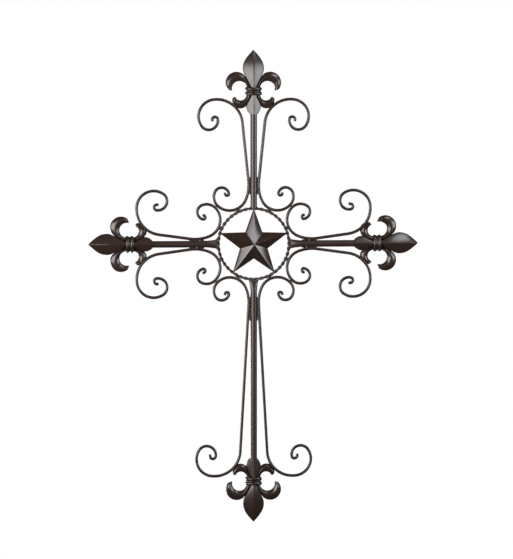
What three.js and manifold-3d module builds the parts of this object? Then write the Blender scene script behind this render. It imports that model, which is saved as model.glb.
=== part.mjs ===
// Wall cross of bent wire and tube with cast fleur-de-lis ends and a raised star in a twisted ring.
// Millimetres, +Z up, +X to the viewer's right. The cross faces -Y and hangs on the wall plane y = 0.
// The origin lies on the flat back of the top casting, level with the middle of its collar.
import * as THREE from 'three';
import Module from 'manifold-3d';

const wasm = await Module();
wasm.setup();

const { sin, cos, asin, atan2, acos, sqrt, hypot, ceil, PI } = Math;
const degrees = PI / 180;

// Reach of the arms, from the middle of the star to the tip of each casting
const topReach = 340;
const sideReach = 290;
const bottomReach = 491;

// Air left at each weld, and the depth of the plane that bars, wires and ring share
const weldGap = 0.3;
const axisDepth = 7.5;

// Ring of two strands twisted together
const ringRadius = 62.2;
const strandRadius = 1.6;
const strandOffset = 1.5;
const ringTwists = 21;
const stationsPerTwist = 6;

// Star pressed from sheet
const starReach = 63.4;
const starWaist = 25.7;
const starRise = 15;
const starSheet = 1.5;

// Bars of round tube, three of them with the end at the ring pinched flat
const barRadius = 5.85;
const barWall = 1.2;
const barSides = 10;
const barPlug = 3;
const pinchWidth = 17.5;
const pinchThickness = 3.6;
const pinchFlat = 6;
const pinchLength = 26;
const pinchStations = [0, 0.35, 0.65, 1];

// Scroll wires: the belly that touches the bar, the nest beside the ring, and the curls at both ends
const wireRadius = 2.6;
const wireSides = 6;
const facetSag = 0.6;
const bellyRadius = 65;
const bellyDip = 2.65;
const turnRadius = 21;
const hookRadius = 13;
const hookEyeRadius = 3.4;
const turnStart = 135 * degrees;
const hookStart = 206 * degrees;
const hookEyeStart = 346 * degrees;
const hookEyeEnd = 548 * degrees;
const flareRadius = 45.3;
const coilRadius = 29.9;
const innerCoilRadius = 15.9;
const coilEyeRadius = 4.9;
const coilStart = 97.7 * degrees;
const innerCoilStart = 212.5 * degrees;
const coilEyeStart = 370 * degrees;
const coilEyeEnd = 560 * degrees;

// Middle of each large coil: distance back from the tip of the arm, and out from its bar
const topCoil = { setback: 116, offset: 66.9 };
const sideCoil = { setback: 114.3, offset: 63.9 };
const bottomCoil = { setback: 111.3, offset: 71 };

// Casting: distances are taken back from the tip of its petal, half-widths from its middle line
const castEdge = 4;
const castShoulderShare = 0.5;
const castShoulderRise = 0.6;
const petalWidest = 32.5;
const petalHalfWidth = 18.6;
const petalRise = 10;
const petalFoot = 66;
const petalFootHalfWidth = 4;
const petalTipPull = 0.4;
const petalTipSwell = 0.68;
const petalCheekPull = 0.62;
const petalCheekRun = 9;
const petalNeckRun = 18;
const petalNeckSwell = 8;
const petalTipSteps = 4;
const petalNeckSteps = 3;
const curlRise = 9;
const curlTipHalfWidth = 0.8;
const beadFirst = 68;
const beadSpacing = 8.1;
const beadHalfLength = 4;
const collarHalfWidth = 12.2;
const collarFront = 14.4;
const collarCheek = 6;
const beadSwell = 2.5;
const beadSteps = 3;
const stemSteps = 4;
const tailStart = 77;
const tailWidest = 99;
const tailHalfWidth = 12.6;
const tailRidge = 15.2;
const tailEnd = 112;
const tailFootRun = 8;
const tailSwellRun = 7;
const tailClosingRun = 6;
const tailLip = 1;
const tailLipSwell = 3;
const tailShoulderShare = 0.55;
const tailShoulderRise = 0.72;
const tailHeelRise = 0.3;
const tailHeelDraw = 0.5;
const tailSwellSteps = 3;
const tailClosingSteps = 2;
const spigotLength = 15;
const spigotClearance = 0.3;

// Dark bronze paint, a little brighter on the castings and the star than on the wires
const castFinish = { color: 0x3a302b, roughness: 0.42, metalness: 0.6 };
const wireFinish = { color: 0x342b27, roughness: 0.48, metalness: 0.6 };

// Upper and lower curls of the casting: two circles, the angles they run through, root and tip
const upperCurl = {
  outer: { back: 57.1, out: 29.7, radius: 19.1, from: 128 * degrees, to: -36 * degrees },
  inner: { back: 67.2, out: 24.8, radius: 12.9, from: 157 * degrees, to: -8 * degrees },
  root: { back: 66, near: 3.5, far: 11.8 },
  tip: { back: 71.4, out: 37.6 },
  steps: 5,
};
const lowerCurl = {
  outer: { back: 88.2, out: 23, radius: 14.2, from: -137 * degrees, to: 14 * degrees },
  inner: { back: 78.3, out: 22.3, radius: 10.1, from: -165 * degrees, to: -26 * degrees },
  root: { back: 79, near: 3.5, far: 12.2 },
  tip: { back: 81.8, out: 32.6 },
  steps: 4,
};

// What the sizes above fix between them
const strandReach = strandRadius + strandOffset;
const ringEdge = ringRadius + strandReach;
const barStart = ringEdge + weldGap;
const weldLine = barRadius + weldGap + wireRadius;
const starBack = axisDepth + strandReach + weldGap;
const beadSecond = beadFirst + beadSpacing;
const collarMiddle = (beadFirst + beadSecond) / 2;

// Closed shell from shared points and triangles, turned so that its faces point out.
function shell(points, triangles) {
  let volume = 0;
  for (const [a, b, c] of triangles) {
    volume += points[a].dot(points[b].clone().cross(points[c]));
  }
  const faces = volume > 0 ? triangles : triangles.map(([a, b, c]) => [a, c, b]);
  const geometry = new THREE.BufferGeometry().setFromPoints(points);
  geometry.setIndex(faces.flat());
  return geometry;
}

// Skin over a row of sections that all have as many points. An open row gets a flat cap at each end.
function loft(sections, isLoop = false) {
  const sides = sections[0].length;
  const triangles = [];
  const spans = isLoop ? sections.length : sections.length - 1;
  for (let i = 0; i < spans; i += 1) {
    const near = i * sides;
    const far = ((i + 1) % sections.length) * sides;
    for (let j = 0; j < sides; j += 1) {
      const next = (j + 1) % sides;
      triangles.push([near + j, near + next, far + next]);
      triangles.push([near + j, far + next, far + j]);
    }
  }
  if (!isLoop) {
    const last = (sections.length - 1) * sides;
    for (let j = 1; j < sides - 1; j += 1) {
      triangles.push([0, j + 1, j]);
      triangles.push([last, last + j, last + j + 1]);
    }
  }
  return shell(sections.flat(), triangles);
}

// Solid that can be joined and cut, and back again.
function toSolid(geometry) {
  const vertProperties = new Float32Array(geometry.getAttribute('position').array);
  const triVerts = new Uint32Array(geometry.getIndex().array);
  return new wasm.Manifold(new wasm.Mesh({ numProp: 3, vertProperties, triVerts }));
}

function toGeometry(solid) {
  const { vertProperties, triVerts } = solid.getMesh();
  const geometry = new THREE.BufferGeometry();
  geometry.setAttribute('position', new THREE.BufferAttribute(vertProperties, 3));
  geometry.setIndex(new THREE.BufferAttribute(triVerts, 1));
  return geometry;
}

// An arm is drawn with its bar along +Z, so x is the distance out from the bar and z the distance
// from the middle of the star. A wire station holds a point of the wire's centre line as (out, along)
// and the direction across the wire there.
function wireStation(centre, radius, heading) {
  return {
    out: centre.out - radius * cos(heading),
    along: centre.along + radius * sin(heading),
    acrossOut: cos(heading),
    acrossAlong: -sin(heading),
  };
}

// Stations round one arc, close enough together for the chords to keep within facetSag of it.
function arcStations(centre, radius, from, to) {
  const steps = ceil((to - from) / (2 * acos(1 - facetSag / radius)));
  const stations = [];
  for (let i = 0; i <= steps; i += 1) {
    stations.push(wireStation(centre, radius, from + ((to - from) * i) / steps));
  }
  return stations;
}

// Centre of the next, tighter arc that leaves this one without a kink.
function nextCentre(centre, radius, nextRadius, heading) {
  const shift = radius - nextRadius;
  return {
    out: centre.out - shift * cos(heading),
    along: centre.along + shift * sin(heading),
  };
}

// Spiral of tangent arcs, each entry giving its radius and the heading at which it ends.
function spiral(centre, heading, arcs) {
  const stations = [];
  let middle = centre;
  let from = heading;
  arcs.forEach(({ radius, until }, index) => {
    stations.push(...arcStations(middle, radius, from, until).slice(index === 0 ? 0 : 1));
    const next = arcs[index + 1];
    if (next) {
      middle = nextCentre(middle, radius, next.radius, until);
    }
    from = until;
  });
  return stations;
}

// The nest arc touches the ring, comes within the belly's dip of the bar, and meets its twin of the
// neighbouring arm on the diagonal. The three contacts give its radius.
function nestArc() {
  const ringKeep = ringEdge + weldGap + wireRadius;
  const floor = weldLine + bellyDip;
  const lean = 1 + sqrt(2);
  const start = floor + sqrt(2) * (wireRadius + weldGap / 2);
  const square = lean * lean;
  const linear = 2 * (lean * start + floor - ringKeep);
  const constant = start * start + floor * floor - ringKeep * ringKeep;
  const radius = (-linear + sqrt(linear * linear - 4 * square * constant)) / (2 * square);
  return { radius, out: floor + radius, along: start + lean * radius };
}

const nest = nestArc();
const bellyRun = bellyRadius - nest.radius;
const weldReach = nest.along + sqrt(bellyDip * (2 * bellyRun - bellyDip));
const bellyCentre = { out: weldLine + bellyRadius, along: weldReach };

// Inner half, from the weld on the bar to the small hook beside the ring. It is worked out as if it
// ran outwards, then turned about the weld.
function innerHalf() {
  const flipped = { out: nest.out, along: weldReach - nest.along };
  const nestHeading = asin(flipped.along / bellyRun);
  const belly = arcStations({ out: bellyCentre.out, along: 0 }, bellyRadius, 0, nestHeading);
  const curl = spiral(flipped, nestHeading, [
    { radius: nest.radius, until: turnStart },
    { radius: turnRadius, until: hookStart },
    { radius: hookRadius, until: hookEyeStart },
    { radius: hookEyeRadius, until: hookEyeEnd },
  ]);
  return [...belly, ...curl.slice(1)].map(({ out, along, acrossOut, acrossAlong }) => ({
    out,
    along: weldReach - along,
    acrossOut,
    acrossAlong: -acrossAlong,
  }));
}

// Outer half, from the weld along the bar to the large coil beside the casting.
function outerHalf(reach, coil) {
  const coilCentre = { out: coil.offset, along: reach - coil.setback };
  const flareCentre = nextCentre(coilCentre, coilRadius, flareRadius, coilStart);
  const out = flareCentre.out - bellyCentre.out;
  const along = flareCentre.along - bellyCentre.along;
  const runHeading = atan2(out, along) - asin((flareRadius - bellyRadius) / hypot(out, along));
  const belly = arcStations(bellyCentre, bellyRadius, 0, runHeading);
  const curl = spiral(flareCentre, runHeading, [
    { radius: flareRadius, until: coilStart },
    { radius: coilRadius, until: innerCoilStart },
    { radius: innerCoilRadius, until: coilEyeStart },
    { radius: coilEyeRadius, until: coilEyeEnd },
  ]);
  return [...belly, ...curl];
}

// Wire of one arm, with side 1 or -1 of its bar. The cut in a casting uses it with a larger radius.
function scrollWire(reach, coil, side, radius) {
  const stations = [...innerHalf().reverse(), ...outerHalf(reach, coil).slice(1)];
  const sections = stations.map(({ out, along, acrossOut, acrossAlong }) => {
    const section = [];
    for (let i = 0; i < wireSides; i += 1) {
      const angle = (2 * PI * i) / wireSides;
      const across = radius * cos(angle);
      const depth = -axisDepth + radius * sin(angle);
      section.push(new THREE.Vector3(
        side * (out + across * acrossOut),
        depth,
        along + across * acrossAlong,
      ));
    }
    return section;
  });
  return loft(sections);
}

// Ring: the outline of two touching strands turns as it travels round.
function twistedRing() {
  const shoulder = 70 * degrees;
  const waist = sqrt(strandRadius ** 2 - strandOffset ** 2);
  const lobe = strandOffset + strandRadius * cos(shoulder);
  const flank = strandRadius * sin(shoulder);
  const outline = [
    [strandReach, 0], [lobe, flank], [0, waist], [-lobe, flank],
    [-strandReach, 0], [-lobe, -flank], [0, -waist], [lobe, -flank],
  ];
  const stations = ringTwists * stationsPerTwist;
  const sections = [];
  for (let i = 0; i < stations; i += 1) {
    const around = (2 * PI * i) / stations;
    const twist = around * ringTwists;
    sections.push(outline.map(([x, y]) => {
      const radius = ringRadius + x * cos(twist) - y * sin(twist);
      const depth = -axisDepth + x * sin(twist) + y * cos(twist);
      return new THREE.Vector3(radius * sin(around), depth, radius * cos(around));
    }));
  }
  return loft(sections, true);
}

// Star: ten facets rise from the outline to the middle, with the same facets inside one sheet lower.
function pressedStar() {
  const inside = (starRise - starSheet) / starRise;
  const points = [
    new THREE.Vector3(0, -starBack - starRise, 0),
    new THREE.Vector3(0, -starBack - starRise + starSheet, 0),
  ];
  for (const share of [1, inside]) {
    for (let i = 0; i < 10; i += 1) {
      const radius = share * (i % 2 === 0 ? starReach : starWaist);
      const angle = (i * PI) / 5;
      points.push(new THREE.Vector3(radius * sin(angle), -starBack, radius * cos(angle)));
    }
  }
  const triangles = [];
  for (let i = 0; i < 10; i += 1) {
    const next = (i + 1) % 10;
    triangles.push([0, 2 + i, 2 + next]);
    triangles.push([1, 12 + next, 12 + i]);
    triangles.push([2 + i, 12 + i, 12 + next]);
    triangles.push([2 + i, 12 + next, 2 + next]);
  }
  return shell(points, triangles);
}

// Section of a bar or spigot: an ellipse round the bar's axis.
function roundSection(along, halfWidth, halfDepth) {
  const section = [];
  for (let i = 0; i < barSides; i += 1) {
    const angle = (2 * PI * (i + 0.5)) / barSides;
    section.push(new THREE.Vector3(
      halfWidth * cos(angle),
      -axisDepth + halfDepth * sin(angle),
      along,
    ));
  }
  return section;
}

// Bar: tube from the ring to the casting, open where the casting's spigot enters it.
function bar(reach, isPinched) {
  const end = reach - tailEnd - weldGap;
  const bore = barRadius - barWall;
  const sections = [];
  let boreEnd = barStart + barPlug;
  if (isPinched) {
    const roundAgain = barStart + pinchLength;
    const halfWidth = pinchWidth / 2;
    const halfDepth = pinchThickness / 2;
    sections.push(roundSection(barStart, halfWidth, halfDepth));
    for (const share of pinchStations) {
      const ease = share * share * (3 - 2 * share);
      sections.push(roundSection(
        barStart + pinchFlat + share * (pinchLength - pinchFlat),
        halfWidth + (barRadius - halfWidth) * ease,
        halfDepth + (barRadius - halfDepth) * ease,
      ));
    }
    boreEnd = roundAgain;
  } else {
    sections.push(roundSection(barStart, barRadius, barRadius));
  }
  sections.push(roundSection(end, barRadius, barRadius));
  sections.push(roundSection(end, bore, bore));
  sections.push(roundSection(boreEnd, bore, bore));
  return loft(sections);
}

// Cross-section of the petal, with a flat back: cheeks, shoulders and a ridge.
function castSection(along, halfWidth, cheek, shoulder, ridge) {
  const shoulderAt = halfWidth * castShoulderShare;
  return [
    [halfWidth, 0], [halfWidth, cheek], [shoulderAt, shoulder], [0, ridge],
    [-shoulderAt, shoulder], [-halfWidth, cheek], [-halfWidth, 0],
  ].map(([x, depth]) => new THREE.Vector3(x, -depth, along));
}

// Middle petal, swelling from its tip and drawn in to the collar.
function petal(reach) {
  const upper = new THREE.CubicBezierCurve(
    new THREE.Vector2(0, curlTipHalfWidth),
    new THREE.Vector2(petalWidest * petalTipPull, petalHalfWidth * petalTipSwell),
    new THREE.Vector2(petalWidest * petalCheekPull, petalHalfWidth),
    new THREE.Vector2(petalWidest, petalHalfWidth),
  );
  const lower = new THREE.CubicBezierCurve(
    new THREE.Vector2(petalWidest, petalHalfWidth),
    new THREE.Vector2(petalWidest + petalCheekRun, petalHalfWidth),
    new THREE.Vector2(petalFoot - petalNeckRun, petalFootHalfWidth + petalNeckSwell),
    new THREE.Vector2(petalFoot, petalFootHalfWidth),
  );
  const outline = [...upper.getPoints(petalTipSteps), ...lower.getPoints(petalNeckSteps).slice(1)];
  return loft(outline.map(({ x: back, y: halfWidth }) => {
    const rise = petalRise * sqrt(halfWidth / petalHalfWidth);
    const shoulder = castEdge + rise * castShoulderRise;
    return castSection(reach - back, halfWidth, castEdge, shoulder, castEdge + rise);
  }));
}

// Curl of the casting: a crescent between two circles with a rib along its middle.
function castCurl(reach, { outer, inner, root, tip, steps }, side) {
  const pairs = [[[root.near, root.back], [root.far, root.back]]];
  const onCircle = ({ back, out, radius, from, to }, share) => {
    const angle = from + (to - from) * share;
    return [out + radius * cos(angle), back - radius * sin(angle)];
  };
  for (let i = 0; i <= steps; i += 1) {
    pairs.push([onCircle(outer, i / steps), onCircle(inner, i / steps)]);
  }
  const [[outerX, outerBack], [innerX, innerBack]] = pairs[pairs.length - 1];
  const width = hypot(outerX - innerX, outerBack - innerBack);
  const shareX = (curlTipHalfWidth * (outerX - innerX)) / width;
  const shareBack = (curlTipHalfWidth * (outerBack - innerBack)) / width;
  pairs.push([
    [tip.out + shareX, tip.back + shareBack],
    [tip.out - shareX, tip.back - shareBack],
  ]);
  const widest = 2 * (outer.radius - inner.radius);
  return loft(pairs.map(([[ax, aBack], [bx, bBack]]) => {
    const fullness = Math.min(1, hypot(ax - bx, aBack - bBack) / widest);
    const rib = castEdge + curlRise * sqrt(fullness);
    const at = (share, depth) => new THREE.Vector3(
      side * (ax + (bx - ax) * share),
      -depth,
      reach - (aBack + (bBack - aBack) * share),
    );
    return [at(0, 0), at(0, castEdge), at(0.5, rib), at(1, castEdge), at(1, 0)];
  }));
}

// Collar with two rounded bands round the stem.
function collar(reach) {
  const stem = (back, swell) => {
    const section = [new THREE.Vector3(collarHalfWidth + swell, 0, reach - back)];
    for (let i = 0; i <= stemSteps; i += 1) {
      const angle = (PI * i) / stemSteps;
      section.push(new THREE.Vector3(
        (collarHalfWidth + swell) * cos(angle),
        -collarCheek - (collarFront + swell - collarCheek) * sin(angle),
        reach - back,
      ));
    }
    section.push(new THREE.Vector3(-collarHalfWidth - swell, 0, reach - back));
    return section;
  };
  const sections = [];
  for (const middle of [beadFirst, beadSecond]) {
    for (let i = 0; i <= beadSteps; i += 1) {
      const angle = (PI * i) / beadSteps;
      sections.push(stem(middle - beadHalfLength * cos(angle), beadSwell * sin(angle)));
    }
  }
  return loft(sections);
}

// Tail leaf below the collar, running out round on the bar, with the spigot that enters the tube.
function tail(reach) {
  const width = new THREE.CubicBezierCurve(
    new THREE.Vector2(tailStart, petalFootHalfWidth),
    new THREE.Vector2(tailStart + tailFootRun, petalFootHalfWidth),
    new THREE.Vector2(tailWidest - tailSwellRun, tailHalfWidth),
    new THREE.Vector2(tailWidest, tailHalfWidth),
  );
  const closing = new THREE.CubicBezierCurve(
    new THREE.Vector2(tailWidest, tailHalfWidth),
    new THREE.Vector2(tailWidest + tailClosingRun, tailHalfWidth),
    new THREE.Vector2(tailEnd - tailLip, barRadius + tailLipSwell),
    new THREE.Vector2(tailEnd, barRadius),
  );
  const outline = [
    ...width.getPoints(tailSwellSteps),
    ...closing.getPoints(tailClosingSteps).slice(1),
  ];
  const leafSection = ({ x: back, y: halfWidth }) => {
    const closed = Math.max(0, (back - tailWidest) / (tailEnd - tailWidest));
    const floor = (axisDepth - barRadius) * closed;
    const front = tailRidge + (axisDepth + barRadius - tailRidge) * closed;
    const cheek = castEdge + (axisDepth - castEdge) * closed;
    const shoulder = cheek + (front - cheek) * tailShoulderRise;
    const heel = floor + (cheek - floor) * tailHeelRise * closed;
    const floorAt = halfWidth * (1 - tailHeelDraw * closed);
    const shoulderAt = halfWidth * tailShoulderShare;
    const z = reach - back;
    return [
      [floorAt, floor], [halfWidth, heel], [halfWidth, cheek], [shoulderAt, shoulder],
      [0, front],
      [-shoulderAt, shoulder], [-halfWidth, cheek], [-halfWidth, heel], [-floorAt, floor],
    ].map(([x, depth]) => new THREE.Vector3(x, -depth, z));
  };
  const spigot = barRadius - barWall - spigotClearance;
  const peg = loft([
    roundSection(reach - tailWidest, spigot, spigot),
    roundSection(reach - tailEnd - spigotLength, spigot, spigot),
  ]);
  return toSolid(loft(outline.map(leafSection))).add(toSolid(peg));
}

// Casting of one arm, with seats cut in its lower curls where the two wires pass.
function casting(reach, coil) {
  let solid = toSolid(petal(reach)).add(toSolid(collar(reach))).add(tail(reach));
  for (const side of [1, -1]) {
    solid = solid.add(toSolid(castCurl(reach, upperCurl, side)));
    solid = solid.add(toSolid(castCurl(reach, lowerCurl, side)));
    solid = solid.subtract(toSolid(scrollWire(reach, coil, side, wireRadius + weldGap)));
  }
  return toGeometry(solid);
}

function piece(name, geometry, finish) {
  const material = new THREE.MeshStandardMaterial({ ...finish, flatShading: true });
  const mesh = new THREE.Mesh(geometry, material);
  mesh.name = name;
  return mesh;
}

// Each arm is turned about the middle of the star. Its sides are named as the viewer sees them.
const arms = [
  { name: 'top', reach: topReach, coil: topCoil, turn: 0, sides: ['right', 'left'] },
  { name: 'right', reach: sideReach, coil: sideCoil, turn: 90, sides: ['lower', 'upper'] },
  { name: 'bottom', reach: bottomReach, coil: bottomCoil, turn: 180, sides: ['left', 'right'] },
  { name: 'left', reach: sideReach, coil: sideCoil, turn: -90, sides: ['upper', 'lower'] },
];

const middle = new THREE.Group();
middle.add(piece('star', pressedStar(), castFinish));
middle.add(piece('ring', twistedRing(), wireFinish));

for (const { name, reach, coil, turn, sides } of arms) {
  const arm = new THREE.Group();
  arm.rotation.y = turn * degrees;
  arm.add(piece(`bar_${name}`, bar(reach, name !== 'top'), wireFinish));
  arm.add(piece(`finial_${name}`, casting(reach, coil), castFinish));
  sides.forEach((label, index) => {
    const wire = scrollWire(reach, coil, index === 0 ? 1 : -1, wireRadius);
    arm.add(piece(`scroll_${name}_${label}`, wire, wireFinish));
  });
  middle.add(arm);
}

const cross = new THREE.Group();
middle.position.z = collarMiddle - topReach;
cross.add(middle);

export default cross;
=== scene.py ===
import math

import bmesh
import bpy
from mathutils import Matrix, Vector
from mathutils.geometry import interpolate_bezier


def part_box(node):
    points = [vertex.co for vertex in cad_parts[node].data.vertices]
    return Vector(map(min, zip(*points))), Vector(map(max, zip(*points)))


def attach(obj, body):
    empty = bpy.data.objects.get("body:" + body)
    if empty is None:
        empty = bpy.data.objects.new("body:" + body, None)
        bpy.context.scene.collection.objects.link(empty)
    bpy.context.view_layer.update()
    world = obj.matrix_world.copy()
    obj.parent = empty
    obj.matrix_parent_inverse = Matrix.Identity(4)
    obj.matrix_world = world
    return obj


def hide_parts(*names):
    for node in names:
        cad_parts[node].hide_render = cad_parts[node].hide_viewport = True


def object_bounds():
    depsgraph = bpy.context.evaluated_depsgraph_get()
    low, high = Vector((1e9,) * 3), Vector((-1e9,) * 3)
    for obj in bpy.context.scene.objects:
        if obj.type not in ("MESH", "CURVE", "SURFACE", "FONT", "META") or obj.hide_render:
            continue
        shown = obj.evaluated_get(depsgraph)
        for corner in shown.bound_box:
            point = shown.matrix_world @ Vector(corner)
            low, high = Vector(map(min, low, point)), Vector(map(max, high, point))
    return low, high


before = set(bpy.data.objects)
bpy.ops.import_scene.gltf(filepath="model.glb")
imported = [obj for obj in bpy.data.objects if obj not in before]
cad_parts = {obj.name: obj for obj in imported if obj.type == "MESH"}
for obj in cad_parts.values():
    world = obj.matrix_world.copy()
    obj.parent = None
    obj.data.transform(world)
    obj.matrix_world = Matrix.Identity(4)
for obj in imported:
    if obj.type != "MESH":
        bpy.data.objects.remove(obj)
packed_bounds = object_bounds()

# The star in the middle of the cross. It is one piece of thin sheet, pressed so that ten slightly
# swelling facets rise from its outline to a point, with narrow rounded ridges between them. Its tips lie
# on the ring and are welded there. It is painted dark bronze, half glossy, as the whole cross is.
mm = 0.001
ring_low, ring_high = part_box("ring")
middle = (Vector(ring_low) + Vector(ring_high)) / 2
_, star_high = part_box("star")
star_plane = star_high[1]
star_tips = 5
star_reach = 63.4 * mm
star_waist = 25.7 * mm
star_rise = 15 * mm
star_sheet = 1.5 * mm
star_swell = 0.9 * mm
star_rows = 8
star_ridge_width, star_ridge_steps = 1.15 * mm, 3
star_ridge_angle, star_crease = math.radians(12), math.radians(30)
star_bronze, star_bronze_worn = (0.030, 0.0158, 0.010), (0.041, 0.0235, 0.0155)
star_roughness, star_grain = 0.2, 0.05
gloss_swing = 0.05
mottle_scale, skin_scale, skin_depth = 55, 900, 0.1 * mm
near_enough = 0.02 * mm


def edit_new():
    """Puts the new primitive in edit mode, selected all over."""
    bpy.ops.object.mode_set(mode="EDIT")
    bpy.ops.mesh.select_all(action="SELECT")


def pick(test):
    """Selects the vertices of the piece in edit mode whose place passes the test."""
    bpy.ops.mesh.select_mode(type="VERT")
    bpy.ops.mesh.select_all(action="DESELECT")
    mesh = bpy.context.object.data
    bm = bmesh.from_edit_mesh(mesh)
    for vertex in bm.verts:
        vertex.select = test(vertex.co)
    bm.select_flush_mode()
    bmesh.update_edit_mesh(mesh)


def face_outwards():
    """Merges doubles, turns every face outwards and leaves edit mode."""
    bpy.ops.mesh.select_all(action="SELECT")
    bpy.ops.mesh.remove_doubles(threshold=near_enough / 4)
    bpy.ops.mesh.normals_make_consistent(inside=False)
    bpy.ops.object.mode_set(mode="OBJECT")


def apply_modifier(kind, **settings):
    """Adds one modifier to the active piece and applies it."""
    bpy.ops.object.modifier_add(type=kind)
    modifier = bpy.context.object.modifiers[-1]
    for key, value in settings.items():
        setattr(modifier, key, value)
    bpy.ops.object.modifier_apply(modifier=modifier.name)


def bronze_paint(name, colour, worn_colour, roughness, grain):
    """Dark paint with a faint mottle in its colour and gloss, and a fine grain in its skin."""
    material = bpy.data.materials.new(name)
    material.use_nodes = True
    nodes = material.node_tree.nodes
    links = material.node_tree.links
    shader = nodes["Principled BSDF"]
    shader.inputs["Metallic"].default_value = 0.1
    shader.inputs["Specular IOR Level"].default_value = 0.55
    shader.inputs["Coat Weight"].default_value = 0.3
    shader.inputs["Coat Roughness"].default_value = 0.18
    place = nodes.new("ShaderNodeTexCoord")
    cloud = nodes.new("ShaderNodeTexNoise")
    cloud.inputs["Scale"].default_value = mottle_scale
    cloud.inputs["Detail"].default_value = 4
    links.new(place.outputs["Object"], cloud.inputs["Vector"])
    tone = nodes.new("ShaderNodeMix")
    tone.data_type = "RGBA"
    tone.inputs["A"].default_value = (*colour, 1)
    tone.inputs["B"].default_value = (*worn_colour, 1)
    links.new(cloud.outputs["Fac"], tone.inputs["Factor"])
    links.new(tone.outputs["Result"], shader.inputs["Base Color"])
    gloss = nodes.new("ShaderNodeMapRange")
    gloss.inputs["To Min"].default_value = roughness - gloss_swing
    gloss.inputs["To Max"].default_value = roughness + gloss_swing
    links.new(cloud.outputs["Fac"], gloss.inputs["Value"])
    links.new(gloss.outputs["Result"], shader.inputs["Roughness"])
    skin = nodes.new("ShaderNodeTexNoise")
    skin.inputs["Scale"].default_value = skin_scale
    skin.inputs["Detail"].default_value = 2
    links.new(place.outputs["Object"], skin.inputs["Vector"])
    bump = nodes.new("ShaderNodeBump")
    bump.inputs["Strength"].default_value = grain
    bump.inputs["Distance"].default_value = skin_depth
    links.new(skin.outputs["Fac"], bump.inputs["Height"])
    links.new(bump.outputs["Normal"], shader.inputs["Normal"])
    return material


bpy.ops.object.select_all(action="DESELECT")
bpy.ops.mesh.primitive_cone_add(
    vertices=2 * star_tips, radius1=star_reach, radius2=0, depth=star_rise, end_fill_type="NOTHING",
    location=(0, star_plane - star_rise / 2, middle.z), rotation=(math.pi / 2, 0, 0))
star = bpy.context.object
bpy.ops.object.transform_apply(location=True, rotation=True, scale=True)
star_foot = Vector((0, star_plane, middle.z))
edit_new()
for corner in range(1, 2 * star_tips, 2):
    angle = corner * math.pi / star_tips
    place = star_foot + star_reach * Vector((math.sin(angle), 0, math.cos(angle)))
    pick(lambda co: (co - place).length < near_enough)
    bpy.ops.transform.resize(value=(star_waist / star_reach,) * 3, center_override=star_foot)
bpy.ops.mesh.select_all(action="SELECT")
bpy.ops.mesh.subdivide(number_cuts=star_rows - 1)
for row in range(1, star_rows):
    share = row / star_rows
    row_height = star_plane - star_rise * share
    pick(lambda co: abs(co.y - row_height) < near_enough)
    bpy.ops.transform.translate(value=(0, -4 * star_swell * share * (1 - share), 0))
bpy.ops.object.mode_set(mode="OBJECT")
apply_modifier("SOLIDIFY", thickness=star_sheet, offset=-1)
edit_new()
pick(lambda co: co.y > star_plane + near_enough)
bpy.ops.transform.resize(value=(1, 0, 1), center_override=star_foot)
face_outwards()
apply_modifier("BEVEL", width=star_ridge_width, segments=star_ridge_steps, limit_method="ANGLE",
               angle_limit=star_ridge_angle)
bpy.ops.object.shade_smooth_by_angle(angle=star_crease)
star.name = "pressed_star"
star_paint = bronze_paint("star_bronze_paint", star_bronze, star_bronze_worn, star_roughness, star_grain)
star.data.materials.append(star_paint)
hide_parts("star")
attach(star, "root")

# The ring round the star. Two thin wires are twisted together like a rope, bent to a hoop and welded
# end to end. The star, the bars and the small hooks of the scrolls are all welded to it.
strand_radius, strand_sides = 1.75 * mm, 14
strand_offset = 1.35 * mm
ring_radius = 62.2 * mm
ring_twists = 21
steps_per_twist = 22
wire_bronze, wire_bronze_worn = (0.031, 0.0168, 0.0115), (0.043, 0.0255, 0.0185)
ring_roughness, ring_grain = 0.36, 0.06
ring_length = 2 * math.pi * ring_radius

bpy.ops.object.select_all(action="DESELECT")
bpy.ops.mesh.primitive_circle_add(vertices=strand_sides, radius=strand_radius,
                                  location=(strand_offset, 0, 0))
ring = bpy.context.object
bpy.ops.object.transform_apply(location=True, rotation=True, scale=True)
edit_new()
bpy.ops.mesh.duplicate()
bpy.ops.transform.rotate(value=math.pi, orient_axis="Z", center_override=(0, 0, 0))
bpy.ops.object.mode_set(mode="OBJECT")
apply_modifier("SCREW", axis="Z", angle=-2 * math.pi * ring_twists, screw_offset=ring_length,
               steps=ring_twists * steps_per_twist, render_steps=ring_twists * steps_per_twist)
apply_modifier("SIMPLE_DEFORM", deform_method="BEND", deform_axis="Y", angle=2 * math.pi)
edit_new()
bpy.ops.transform.translate(value=(-ring_radius, middle.y, middle.z))
face_outwards()
bpy.ops.object.shade_smooth()
ring.name = "twisted_ring"
ring_paint = bronze_paint("ring_bronze_paint", wire_bronze, wire_bronze_worn, ring_roughness, ring_grain)
ring.data.materials.append(ring_paint)
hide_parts("ring")
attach(ring, "root")

# The bars: four lengths of round tube that run out from the ring to the castings. The ends of three
# of them are pinched flat at the ring, where they are welded; the top one is left round.
bar_radius = 5.85 * mm
bar_sides = 28
bar_start = 63.2 * mm
bar_end_setback = 104 * mm
pinch_half_width = 8.3 * mm
pinch_half_depth = 2 * mm
pinch_flat = 2 * mm
pinch_length = 24 * mm
pinch_steps = 9
bar_crease = math.radians(35)
bar_bronze, bar_bronze_worn = (0.030, 0.0162, 0.011), (0.041, 0.024, 0.0172)
bar_roughness, bar_grain = 0.39, 0.05
reach = {"top": 340 * mm, "right": 290 * mm, "bottom": 491 * mm, "left": 290 * mm}
turn = {"top": 0, "right": math.pi / 2, "bottom": math.pi, "left": -math.pi / 2}


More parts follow.
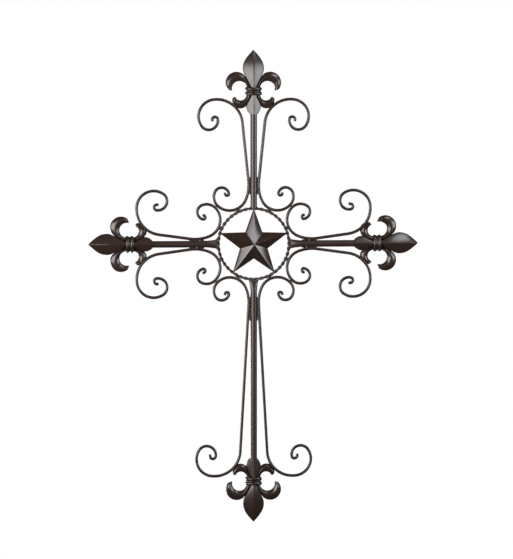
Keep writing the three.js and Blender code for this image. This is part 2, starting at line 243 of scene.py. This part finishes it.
def set_on_arm(arm):
    """Turns the piece in edit mode, drawn along +Z from the origin, onto its arm of the cross."""
    bpy.ops.mesh.select_all(action="SELECT")
    bpy.ops.transform.rotate(value=-turn[arm], orient_axis="Y", center_override=(0, 0, 0))
    bpy.ops.transform.translate(value=(0, 0, middle.z))


tube_paint = bronze_paint("bar_bronze_paint", bar_bronze, bar_bronze_worn, bar_roughness, bar_grain)
for arm in reach:
    bpy.ops.object.select_all(action="DESELECT")
    bpy.ops.mesh.primitive_circle_add(vertices=bar_sides, radius=bar_radius, fill_type="NGON",
                                      location=(0, middle.y, bar_start))
    bar = bpy.context.object
    bpy.ops.object.transform_apply(location=True, rotation=True, scale=True)
    edit_new()
    height = bar_start
    if arm != "top":
        half_width, half_depth = pinch_half_width, pinch_half_depth
        bpy.ops.transform.resize(
            value=(half_width / bar_radius, half_depth / bar_radius, 1),
            center_override=(0, middle.y, height))
        for step in range(pinch_steps + 1):
            share = step / pinch_steps
            ease = 1 - (1 - share) ** 2
            next_height = bar_start + pinch_flat + share * (pinch_length - pinch_flat)
            next_width = pinch_half_width + (bar_radius - pinch_half_width) * ease
            next_depth = pinch_half_depth + (bar_radius - pinch_half_depth) * ease
            bpy.ops.mesh.extrude_region_move(
                TRANSFORM_OT_translate={"value": (0, 0, next_height - height)})
            bpy.ops.transform.resize(
                value=(next_width / half_width, next_depth / half_depth, 1),
                center_override=(0, middle.y, next_height))
            height, half_width, half_depth = next_height, next_width, next_depth
    bar_end = reach[arm] - bar_end_setback
    bpy.ops.mesh.extrude_region_move(TRANSFORM_OT_translate={"value": (0, 0, bar_end - height)})
    set_on_arm(arm)
    face_outwards()
    bpy.ops.object.shade_smooth_by_angle(angle=bar_crease)
    bar.name = f"{arm}_bar"
    bar.data.materials.append(tube_paint)
    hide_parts(f"bar_{arm}")
    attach(bar, "root")

# The scrolls: eight lengths of round wire, each bent cold round formers into a long C. Its belly is
# welded to the bar. One end curls into a small hook that nests against the ring, and the other runs
# out along the arm into a large coil beside the casting, each with a tight eye at its tip.
wire_radius = 2.6 * mm
wire_sides = 16
bend_step = math.radians(7)
# Two steps round the cut end of a wire: their length in wire radii, and how much they narrow it
wire_end = ((0.35, 0.9), (0.2, 0.62))
wire_crease = math.radians(50)
wire_roughness, wire_grain = 0.34, 0.05
weld_line = 8.75 * mm
half_weld_gap = 0.15 * mm
belly_dip = 2.65 * mm
belly_radius = 65 * mm
nest_radius = 30.75 * mm
turn_radius, turn_start = 21 * mm, math.radians(135)
hook_radius, hook_start = 13 * mm, math.radians(206)
hook_eye_radius, hook_eye_start, hook_eye_end = 3.4 * mm, math.radians(346), math.radians(548)
flare_radius = 45.3 * mm
coil_radius, coil_start = 29.9 * mm, math.radians(97.7)
inner_coil_radius, inner_coil_start = 15.9 * mm, math.radians(212.5)
coil_eye_radius, coil_eye_start, coil_eye_end = 4.9 * mm, math.radians(370), math.radians(560)
coil_setback = {"top": 116 * mm, "right": 114.3 * mm, "bottom": 111.3 * mm, "left": 114.3 * mm}
coil_offset = {"top": 66.9 * mm, "right": 63.9 * mm, "bottom": 71 * mm, "left": 63.9 * mm}
sides = {"top": ("right", "left"), "right": ("lower", "upper"),
         "bottom": ("left", "right"), "left": ("upper", "lower")}
nest_floor = weld_line + belly_dip
nest_along = nest_floor + math.sqrt(2) * (wire_radius + half_weld_gap) + (1 + math.sqrt(2)) * nest_radius
belly_run = belly_radius - nest_radius
weld_reach = nest_along + math.sqrt(belly_dip * (2 * belly_run - belly_dip))


def bend(centre, heading, until, way):
    """Bends the wire on round a former at the centre, a pair of out and along, to a new heading."""
    angle = until - heading
    bpy.ops.mesh.spin(steps=max(2, math.ceil(angle / bend_step)), angle=angle,
                      center=(centre[0], middle.y, centre[1]), axis=(0, -way, 0))


def choose(piece):
    """Makes the piece the only selected one and the active one."""
    bpy.ops.object.select_all(action="DESELECT")
    bpy.context.view_layer.objects.active = piece
    piece.select_set(True)


def tighter(centre, radius, next_radius, heading, way):
    """Centre of the next former, for the wire to run on without a kink."""
    shift = radius - next_radius
    return centre[0] - shift * math.cos(heading), centre[1] + way * shift * math.sin(heading)


def curl_up(centre, heading, bends, way):
    """Bends the wire round one former after another, and rounds its cut end in two short steps."""
    for index, (radius, until) in enumerate(bends):
        bend(centre, heading, until, way)
        if index + 1 < len(bends):
            centre = tighter(centre, radius, bends[index + 1][0], until, way)
        heading = until
    radius = bends[-1][0]
    tip = (centre[0] - radius * math.cos(heading), centre[1] + way * radius * math.sin(heading))
    for radii, share in wire_end:
        advance = radii * wire_radius
        step = (advance * math.sin(heading), way * advance * math.cos(heading))
        bpy.ops.mesh.extrude_region_move(TRANSFORM_OT_translate={"value": (step[0], 0, step[1])})
        tip = (tip[0] + step[0], tip[1] + step[1])
        bpy.ops.transform.resize(value=(share,) * 3, center_override=(tip[0], middle.y, tip[1]))
    bpy.ops.mesh.edge_face_add()


wire_paint = bronze_paint("scroll_bronze_paint", wire_bronze, wire_bronze_worn, wire_roughness, wire_grain)
for arm in reach:
    coil_centre = (coil_offset[arm], reach[arm] - coil_setback[arm])
    flare_centre = tighter(coil_centre, coil_radius, flare_radius, coil_start, 1)
    belly_centre = (weld_line + belly_radius, weld_reach)
    gap_out, gap_along = flare_centre[0] - belly_centre[0], flare_centre[1] - belly_centre[1]
    run_heading = (math.atan2(gap_out, gap_along)
                   - math.asin((flare_radius - belly_radius) / math.hypot(gap_out, gap_along)))
    flare_point = (flare_centre[0] - flare_radius * math.cos(run_heading),
                   flare_centre[1] + flare_radius * math.sin(run_heading))
    belly_point = (belly_centre[0] - belly_radius * math.cos(run_heading),
                   belly_centre[1] + belly_radius * math.sin(run_heading))
    bpy.ops.object.select_all(action="DESELECT")
    bpy.ops.mesh.primitive_circle_add(vertices=wire_sides, radius=wire_radius,
                                      location=(weld_line, middle.y, weld_reach))
    right_wire = bpy.context.object
    bpy.ops.object.transform_apply(location=True, rotation=True, scale=True)
    edit_new()
    bend(belly_centre, 0, run_heading, 1)
    bpy.ops.mesh.extrude_region_move(TRANSFORM_OT_translate={
        "value": (flare_point[0] - belly_point[0], 0, flare_point[1] - belly_point[1])})
    curl_up(flare_centre, run_heading, (
        (flare_radius, coil_start), (coil_radius, inner_coil_start),
        (inner_coil_radius, coil_eye_start), (coil_eye_radius, coil_eye_end)), 1)
    pick(lambda co: abs(co.z - weld_reach) < near_enough and co.x < weld_line + 2 * wire_radius)
    nest_heading = math.asin((weld_reach - nest_along) / belly_run)
    bend(belly_centre, 0, nest_heading, -1)
    curl_up((nest_floor + nest_radius, nest_along), nest_heading, (
        (nest_radius, turn_start), (turn_radius, hook_start),
        (hook_radius, hook_eye_start), (hook_eye_radius, hook_eye_end)), -1)
    face_outwards()
    bpy.ops.object.shade_smooth_by_angle(angle=wire_crease)
    bpy.ops.object.duplicate()
    left_wire = bpy.context.object
    edit_new()
    bpy.ops.transform.resize(value=(-1, 1, 1), center_override=(0, 0, 0))
    face_outwards()
    for wire, side in zip((right_wire, left_wire), sides[arm]):
        choose(wire)
        edit_new()
        set_on_arm(arm)
        bpy.ops.object.mode_set(mode="OBJECT")
        wire.name = f"{arm}_scroll_{side}"
        wire.data.materials.append(wire_paint)
        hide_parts(f"scroll_{arm}_{side}")
        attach(wire, "root")

# The castings: four equal fleur-de-lis of cast metal with flat backs, one at the end of each bar. A
# ridged petal stands between two claws, a collar of two rounded beads with a thin ring between them
# binds the foot, and below it a short leaf runs out over the tube between two smaller claws.
cast_edge = 4 * mm
tip_half_width = 0.5 * mm
petal_widest, petal_half_width = 32.5 * mm, 18.6 * mm
petal_foot, petal_foot_half_width = 66 * mm, 4 * mm
petal_tip_pull, petal_tip_swell, petal_cheek_pull, petal_cheek_run = 0.4, 0.68, 0.62, 9 * mm
petal_neck_run, petal_neck_swell = 18 * mm, 8 * mm
petal_tip_ridge, petal_ridge, petal_ridge_top = 4 * mm, 14 * mm, 48 * mm
petal_ridge_climb = 0.8
leaf_slope = 0.5
leaf_wall = 0.3
# Half sections, as shares of the half-width and the height, from the foot of the wall up to the crest
leaf_flank = ((1, 0), (1, 0.17), (0.99, 0.25), (0.965, 0.305), (0.92, 0.347), (0.75, 0.495), (0.5, 0.684),
              (0.25, 0.845), (0.05, 0.957), (0, 0.98))
curl_rise = 4 * mm
curl_flank = ((1, 0), (1, 0.3), (0.985, 0.41), (0.95, 0.49), (0.9, 0.55), (0.82, 0.62), (0.7, 0.71),
              (0.55, 0.8), (0.4, 0.875), (0.2, 0.955), (0, 0.99))
# Each claw lies between two circles: distance back from the petal's tip, distance out, radius, and the
# angles it runs through. Its root lies under the collar, between a near and a far edge.
claw_up = {
    "outer": (57.1 * mm, 29.7 * mm, 19.1 * mm, math.radians(128), math.radians(-36)),
    "inner": (67.2 * mm, 24.8 * mm, 12.9 * mm, math.radians(157), math.radians(-8)),
    "root": (66 * mm, 3.5 * mm, 11.8 * mm),
    "tip": (71.4 * mm, 37.6 * mm),
}
claw_down = {
    "outer": (88.2 * mm, 23 * mm, 14.2 * mm, math.radians(-137), math.radians(14)),
    "inner": (78.3 * mm, 22.3 * mm, 10.1 * mm, math.radians(-165), math.radians(-26)),
    "root": (79 * mm, 3.5 * mm, 12.2 * mm),
    "tip": (81.8 * mm, 32.6 * mm),
}
claw_steps = 16
claw_root_shares, claw_snugness = (0.35, 0.7), 2.2 * mm
claw_tip_shares, claw_tip_swell = (0.3, 0.6, 0.85, 1), 0.16
collar_half_width, collar_front = 12.2 * mm, 14.4 * mm
collar_flank = ((1, 0), (1, 0.42), (0.93, 0.64), (0.72, 0.83), (0.39, 0.955), (0, 1))
bead_half_length, bead_swell = 3 * mm, 2.5 * mm
fillet_half_length, fillet_swell = 1 * mm, 0.8 * mm
first_bead, last_bead = 68 * mm, 76.1 * mm
bead_steps = 8
tail_start, tail_widest, tail_half_width, tail_ridge, tail_end = (
    77 * mm, 99 * mm, 12.6 * mm, 15.2 * mm, 112 * mm)
tail_foot_run, tail_swell_run, tail_closing_run = 8 * mm, 7 * mm, 6 * mm
tail_lip, tail_lip_run, tail_lip_swell = 0.6 * mm, 2 * mm, 3 * mm
outline_steps = 14
section_near, least_turn = 1e-4, 1e-6
casting_crease = math.radians(38)
cast_bronze, cast_bronze_worn = (0.029, 0.0158, 0.0105), (0.041, 0.024, 0.0165)
cast_roughness, cast_grain = 0.28, 0.06


def loft(flank, stations):
    """Carries a flat-backed section along stations of centre, angle, half width and height."""
    (across, along), angle, half_width, height = stations[0]
    quarter = len(flank) - 1
    bpy.ops.object.select_all(action="DESELECT")
    bpy.ops.mesh.primitive_circle_add(vertices=4 * quarter, radius=1, fill_type="NGON",
                                      location=(0, 0, 0), rotation=(0, 0, -math.pi / 2))
    bpy.ops.object.transform_apply(location=True, rotation=True, scale=True)
    edit_new()
    pick(lambda co: co.y > section_near)
    bpy.ops.transform.resize(value=(1, 0, 1), center_override=(0, 0, 0))
    for step, (share_out, share_up) in enumerate(flank[1:], 1):
        old_out, old_up = math.cos(step * math.pi / 2 / quarter), math.sin(step * math.pi / 2 / quarter)
        pick(lambda co: abs(abs(co.x) - old_out) < section_near and abs(co.y + old_up) < section_near)
        if step < quarter:
            bpy.ops.transform.resize(value=(share_out / old_out, 1, 1), center_override=(0, 0, 0))
        bpy.ops.transform.translate(value=(0, old_up - share_up, 0))
    bpy.ops.mesh.select_all(action="SELECT")
    bpy.ops.transform.resize(value=(half_width, height, 1), center_override=(0, 0, 0))
    bpy.ops.transform.rotate(value=angle, orient_axis="Y", center_override=(0, 0, 0))
    bpy.ops.transform.translate(value=(across, 0, along))
    for centre, next_angle, next_half_width, next_height in stations[1:]:
        bpy.ops.mesh.extrude_region_move(TRANSFORM_OT_translate={
            "value": (centre[0] - across, 0, centre[1] - along)})
        across, along = centre
        if abs(next_angle - angle) > least_turn:
            bpy.ops.transform.rotate(value=next_angle - angle, orient_axis="Y",
                                     center_override=(across, 0, along))
        spread = next_half_width / half_width
        bpy.ops.transform.resize(value=(spread, next_height / height, spread),
                                 center_override=(across, 0, along))
        angle, half_width, height = next_angle, next_half_width, next_height
    face_outwards()
    return bpy.context.object


def claw(form, rise):
    """Stations of a curved claw between two circles, from its root at the collar to its point."""
    def on_circle(name, share):
        back, out, radius, start, end = form[name]
        angle = start + (end - start) * share
        return Vector((out + radius * math.cos(angle), radius * math.sin(angle) - back))

    root_back, root_near, root_far = form["root"]
    tip_back, tip_out = form["tip"]
    pairs = [(Vector((root_near, -root_back)), Vector((root_far, -root_back)))]
    first_outer, first_inner = on_circle("outer", 0), on_circle("inner", 0)
    for share in claw_root_shares:
        snug = Vector((-claw_snugness * math.sin(math.pi * share), 0))
        pairs.append((pairs[0][0].lerp(first_outer, share) + snug, pairs[0][1].lerp(first_inner, share)))
    for step in range(claw_steps + 1):
        pairs.append((on_circle("outer", step / claw_steps), on_circle("inner", step / claw_steps)))
    last_outer, last_inner = pairs[-1]
    tip = Vector((tip_out, -tip_back))
    for share in claw_tip_shares:
        swell = (last_outer - last_inner) * claw_tip_swell * math.sin(math.pi * share)
        pairs.append((last_outer.lerp(tip, share) + swell,
                      last_inner.lerp(tip, math.sin(share * math.pi / 2))))
    widest = 2 * (form["outer"][2] - form["inner"][2])
    stations = []
    angle = None
    for outer, inner in pairs:
        span = outer - inner
        half_width = max(span.length / 2, tip_half_width)
        if span.length > tip_half_width:
            new_angle = math.atan2(span.y, span.x)
            if angle is not None:
                while new_angle - angle > math.pi:
                    new_angle -= 2 * math.pi
                while new_angle - angle < -math.pi:
                    new_angle += 2 * math.pi
            angle = new_angle
        fullness = min(1, 2 * half_width / widest)
        stations.append(((outer + inner) / 2, angle, half_width, cast_edge + rise * fullness))
    return stations


def curve_points(*points):
    """Points of one smooth curve, each a distance back from the tip and a half-width."""
    return interpolate_bezier(*[Vector((a, b, 0)) for a, b in points], outline_steps)


def leaf(outline, ridge):
    """A leaf with two flat flanks: its walls stand higher where it is narrow, to hold the ridge up."""
    heights = [leaf_slope * point.y / (1 - leaf_wall) for point in outline]
    made = loft(leaf_flank, [((0, -point.x), 0, point.y, height)
                             for point, height in zip(outline, heights)])
    edit_new()
    for point, height in zip(outline, heights):
        pick(lambda co: abs(co.z + point.x) < near_enough and co.y < -near_enough)
        bpy.ops.transform.translate(value=(0, height - ridge(point), 0))
    bpy.ops.object.mode_set(mode="OBJECT")
    return made


def petal_ridge_at(point):
    """The ridge climbs quickly from the petal's tip, then gently, and sinks a little to the collar."""
    climb = math.sin((point.x / petal_ridge_top) ** petal_ridge_climb * math.pi / 2)
    return petal_tip_ridge + (petal_ridge - petal_tip_ridge) * climb


petal_outline = curve_points(
    (0, tip_half_width), (petal_widest * petal_tip_pull, petal_half_width * petal_tip_swell),
    (petal_widest * petal_cheek_pull, petal_half_width), (petal_widest, petal_half_width))
petal_outline += curve_points(
    (petal_widest, petal_half_width), (petal_widest + petal_cheek_run, petal_half_width),
    (petal_foot - petal_neck_run, petal_foot_half_width + petal_neck_swell),
    (petal_foot, petal_foot_half_width))[1:]
casting = leaf(petal_outline, petal_ridge_at)

tail_outline = curve_points(
    (tail_start, petal_foot_half_width), (tail_start + tail_foot_run, petal_foot_half_width),
    (tail_widest - tail_swell_run, tail_half_width), (tail_widest, tail_half_width))
tail_outline += curve_points(
    (tail_widest, tail_half_width), (tail_widest + tail_closing_run, tail_half_width),
    (tail_end - tail_lip_run, bar_radius + tail_lip_swell), (tail_end, bar_radius + tail_lip))[1:]
tail = leaf(tail_outline, lambda point: tail_ridge)

collar_stations = []
for bead_middle, half_length, swell in (
        (first_bead, bead_half_length, bead_swell),
        ((first_bead + last_bead) / 2, fillet_half_length, fillet_swell),
        (last_bead, bead_half_length, bead_swell)):
    for step in range(bead_steps + 1):
        angle = math.pi * step / bead_steps
        grown = swell * math.sin(angle)
        collar_stations.append((
            (0, -bead_middle + half_length * math.cos(angle)), 0,
            collar_half_width + grown, collar_front + grown))
collar = loft(collar_flank, collar_stations)

claws = []
for form in (claw_up, claw_down):
    right_claw = loft(curl_flank, claw(form, curl_rise))
    bpy.ops.object.duplicate()
    left_claw = bpy.context.object
    edit_new()
    bpy.ops.transform.resize(value=(-1, 1, 1), center_override=(0, 0, 0))
    face_outwards()
    claws += [right_claw, left_claw]

choose(casting)
for joined in [collar, tail, *claws]:
    apply_modifier("BOOLEAN", operation="UNION", solver="MANIFOLD", object=joined)
bpy.ops.object.select_all(action="DESELECT")
for joined in [collar, tail, *claws]:
    joined.select_set(True)
bpy.ops.object.delete()
choose(casting)
edit_new()
face_outwards()
bpy.ops.object.shade_smooth_by_angle(angle=casting_crease)

cast_paint = bronze_paint("casting_bronze_paint", cast_bronze, cast_bronze_worn, cast_roughness, cast_grain)
casting.data.materials.clear()
casting.data.materials.append(cast_paint)
finials = {"top": casting}
for arm in ("right", "bottom", "left"):
    choose(casting)
    bpy.ops.object.duplicate()
    finials[arm] = bpy.context.object
for arm, finial in finials.items():
    choose(finial)
    edit_new()
    bpy.ops.transform.translate(value=(0, 0, reach[arm]))
    set_on_arm(arm)
    bpy.ops.object.mode_set(mode="OBJECT")
    finial.name = f"{arm}_fleur_de_lis"
    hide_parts(f"finial_{arm}")
    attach(finial, "root")

# The welds: small lumps of run metal, painted over with the rest. They close the bars onto the ring and
# the scroll wires onto the bars, the ring, the claws and one another, and hold the tips of the star.
weld_mesh_step = 0.4 * mm
weld_ripple_length, weld_ripple_height = 4 * mm, 0.3 * mm
weld_roughness, weld_grain = 0.38, 0.1
bead_shares = (0.94, 1.08)
seam_bead, seam_pitch, seam_out = 1.5 * mm, 1.1 * mm, 6.1 * mm
seam_span = {"top": (88 * mm, 116 * mm), "right": (86 * mm, 110 * mm),
             "bottom": (95 * mm, 134 * mm), "left": (88 * mm, 112 * mm)}
tack_bead, tack_pitch, tack_out, tack_forward = 1.9 * mm, 1 * mm, (4.4 * mm, 8.2 * mm), 3.3 * mm
tack_share = {-1: 0.5, 1: 0.3}
ring_joint_bead, ring_joint_pitch, ring_joint_along = 2.2 * mm, 2.2 * mm, 64.6 * mm
ring_joint_half_width = {"top": 4.4 * mm, "right": 7 * mm, "bottom": 7 * mm, "left": 7.6 * mm}
kiss_bead, kiss_pitch = 2 * mm, 1.7 * mm
# Where the wire touches the lower claw: distance out from the bar, and back from the petal's tip
claw_touch = {"top": (31.3 * mm, 98.1 * mm), "right": (29.1 * mm, 99.6 * mm),
              "bottom": (31.1 * mm, 98.3 * mm), "left": (29.1 * mm, 99.6 * mm)}
claw_touch_depth = -6 * mm
star_bead, star_bead_back = 2 * mm, 0.6 * mm
nest_centre = Vector((nest_floor + nest_radius, nest_along))
ring_touch = nest_centre * (1 - (nest_radius + wire_radius) / nest_centre.length)
corner_touch = Vector((1, 1)) * (nest_centre.x + nest_centre.y) / 2

weld_ripple = bpy.data.textures.new("weld_ripple", "CLOUDS")
weld_ripple.noise_scale = weld_ripple_length
weld_paint = bronze_paint("weld_bronze_paint", wire_bronze, wire_bronze_worn, weld_roughness, weld_grain)


def run_of_beads(start, end, pitch, radius):
    """Weld beads along a straight line, alternately a little larger and smaller."""
    count = max(2, round((end - start).length / pitch) + 1)
    return [(start.lerp(end, step / (count - 1)), radius * bead_shares[step % 2])
            for step in range(count)]


def across(place, out, along):
    """The two ends of a short line through a place, in the plane of the wires."""
    touch = Vector((place[0], middle.y, place[1]))
    half = Vector((out, 0, along))
    return touch - half, touch + half


def weld(name, beads, arm):
    """Runs the beads into one lumpy weld and sets it on its arm of the cross."""
    bpy.ops.object.select_all(action="DESELECT")
    bpy.ops.mesh.primitive_ico_sphere_add(subdivisions=2, radius=beads[0][1], location=beads[0][0])
    piece = bpy.context.object
    bpy.ops.object.transform_apply(location=True, rotation=True, scale=True)
    edit_new()
    for place, radius in beads[1:]:
        bpy.ops.mesh.primitive_ico_sphere_add(subdivisions=2, radius=radius, location=place)
    set_on_arm(arm)
    bpy.ops.object.mode_set(mode="OBJECT")
    apply_modifier("REMESH", mode="VOXEL", voxel_size=weld_mesh_step)
    apply_modifier("DISPLACE", texture=weld_ripple, texture_coords="LOCAL", strength=weld_ripple_height)
    bpy.ops.object.shade_smooth()
    piece.name = name
    piece.data.materials.append(weld_paint)
    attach(piece, "root")


for arm in reach:
    joint_end = Vector((ring_joint_half_width[arm], middle.y, ring_joint_along))
    joint_start = Vector((-ring_joint_half_width[arm], middle.y, ring_joint_along))
    beads = run_of_beads(joint_start, joint_end, ring_joint_pitch, ring_joint_bead)
    beads += run_of_beads(*across(corner_touch, -kiss_pitch, kiss_pitch), kiss_pitch, kiss_bead)
    seam_start, seam_end = seam_span[arm]
    touch_out, touch_back = claw_touch[arm]
    for way in (-1, 1):
        seam_side = way * seam_out
        beads += run_of_beads(Vector((seam_side, middle.y, seam_start)),
                              Vector((seam_side, middle.y, seam_end)), seam_pitch, seam_bead)
        tack_along = seam_start + (seam_end - seam_start) * tack_share[way]
        tack = (Vector((way * out, middle.y - tack_forward, tack_along)) for out in tack_out)
        beads += run_of_beads(*tack, tack_pitch, tack_bead)
        kiss_out = -kiss_pitch * ring_touch.y / ring_touch.length
        kiss_along = way * kiss_pitch * ring_touch.x / ring_touch.length
        kiss = across((way * ring_touch.x, ring_touch.y), kiss_out, kiss_along)
        beads += run_of_beads(*kiss, kiss_pitch, kiss_bead)
        beads.append((Vector((way * touch_out, claw_touch_depth, reach[arm] - touch_back)), kiss_bead))
    weld(f"{arm}_welds", beads, arm)

star_beads = []
for tip in range(star_tips):
    angle = tip * 2 * math.pi / star_tips
    star_beads.append((Vector((ring_radius * math.sin(angle), star_plane + star_bead_back,
                               ring_radius * math.cos(angle))), star_bead))
weld("star_welds", star_beads, "top")

# The room: a plain pale floor well below the cross, which hangs at its usual height, and round it all a
# white dome. Both are only seen, in one even tone, so that nothing of them shines into the paint.
floor_level = -2
floor_radius, floor_sides = 3, 96
floor_tone = 0.85
dome_radius, dome_segments, dome_rings = 30, 64, 32
dome_tone = 1


def only_seen(part, name, tone):
    """Gives a part of the room its even tone and keeps it out of the cross's light and reflections."""
    glow = bpy.data.materials.new(name)
    glow.use_nodes = True
    shader = glow.node_tree.nodes["Principled BSDF"]
    shader.inputs["Base Color"].default_value = (0, 0, 0, 1)
    shader.inputs["Specular IOR Level"].default_value = 0
    shader.inputs["Emission Color"].default_value = (1, 1, 1, 1)
    shader.inputs["Emission Strength"].default_value = tone
    glow.cycles.emission_sampling = "NONE"
    part.data.materials.append(glow)
    part.visible_diffuse = False
    part.visible_glossy = False
    part.visible_transmission = False
    part.visible_shadow = False


bpy.ops.object.select_all(action="DESELECT")
bpy.ops.mesh.primitive_circle_add(vertices=floor_sides, radius=floor_radius, fill_type="NGON",
                                  location=(0, 0, floor_level))
floor = bpy.context.object
bpy.ops.object.transform_apply(location=True, rotation=True, scale=True)
floor.name = "pale_floor"
only_seen(floor, "pale_floor_tone", floor_tone)
bpy.ops.object.select_all(action="DESELECT")
bpy.ops.mesh.primitive_uv_sphere_add(segments=dome_segments, ring_count=dome_rings, radius=dome_radius,
                                     location=(0, 0, 0))
dome = bpy.context.object
dome.name = "white_dome"
only_seen(dome, "white_dome_tone", dome_tone)

# The light: a wide soft box to the left of the cross and a narrower, cooler one to the right, with a
# small one high on the right that picks out the upper flanks. A weak one behind shows the back.
soft_box_spread = math.radians(120)
white_light, cool_light = (1, 1, 1), (0.88, 0.94, 1)
room_colour, room_strength = (0.9, 0.93, 1, 1), 0.06


def soft_box(name, place, aim, width, height, power, colour):
    """A flat rectangular lamp at its place, turned to face its aim."""
    bpy.ops.object.light_add(type="AREA", location=place)
    lamp = bpy.context.object
    lamp.name = name
    lamp.data.shape = "RECTANGLE"
    lamp.data.size, lamp.data.size_y = width, height
    lamp.data.energy = power
    lamp.data.color = colour
    lamp.data.spread = soft_box_spread
    lamp.rotation_mode = "QUATERNION"
    lamp.rotation_quaternion = (Vector(aim) - Vector(place)).to_track_quat("-Z", "Y")


soft_box("left_soft_box", place=(-1.46, -1.36, -0.06), aim=(0, 0, -0.06),
         width=2.0, height=1.13, power=21.7, colour=white_light)
soft_box("right_soft_box", place=(1.8, -1.1, 0.05), aim=(0, 0, 0.05),
         width=1.15, height=0.98, power=10.6, colour=cool_light)
soft_box("high_soft_box", place=(0.85, -1.05, 1.05), aim=(0.25, 0, -0.27),
         width=0.75, height=0.45, power=3.8, colour=cool_light)
soft_box("back_soft_box", place=(-1.3, 1.4, -0.9), aim=(0, 0, -0.1),
         width=1.2, height=1.2, power=18, colour=white_light)
world = bpy.context.scene.world or bpy.data.worlds.new("world")
bpy.context.scene.world = world
world.use_nodes = True
room_light = world.node_tree.nodes["Background"]
room_light.inputs["Color"].default_value = room_colour
room_light.inputs["Strength"].default_value = room_strength
bpy.context.scene.view_settings.view_transform = "Standard"

# The camera: a long lens at the photograph's angle, ten metres away, a little to the left of the middle
# of the cross and above it.
camera_azimuth = math.radians(-4.5)
camera_elevation = math.radians(4.5)
camera_distance = 10
frame_height = 0.9814
aim_right = 4.6 * mm
aim_up = 13.1 * mm
film_width = 36
low, high = packed_bounds
back = Vector((math.sin(camera_azimuth) * math.cos(camera_elevation),
               -math.cos(camera_azimuth) * math.cos(camera_elevation),
               math.sin(camera_elevation)))
right = Vector((math.cos(camera_azimuth), math.sin(camera_azimuth), 0))
up = back.cross(right)
aim = (Vector(low) + Vector(high)) / 2 + right * aim_right + up * aim_up
bpy.ops.object.camera_add(location=aim + back * camera_distance)
camera = bpy.context.object
camera.rotation_mode = "QUATERNION"
camera.rotation_quaternion = (-back).to_track_quat("-Z", "Y")
camera.data.sensor_width = film_width
camera.data.lens = camera.data.sensor_width * camera_distance / frame_height
bpy.context.scene.camera = camera
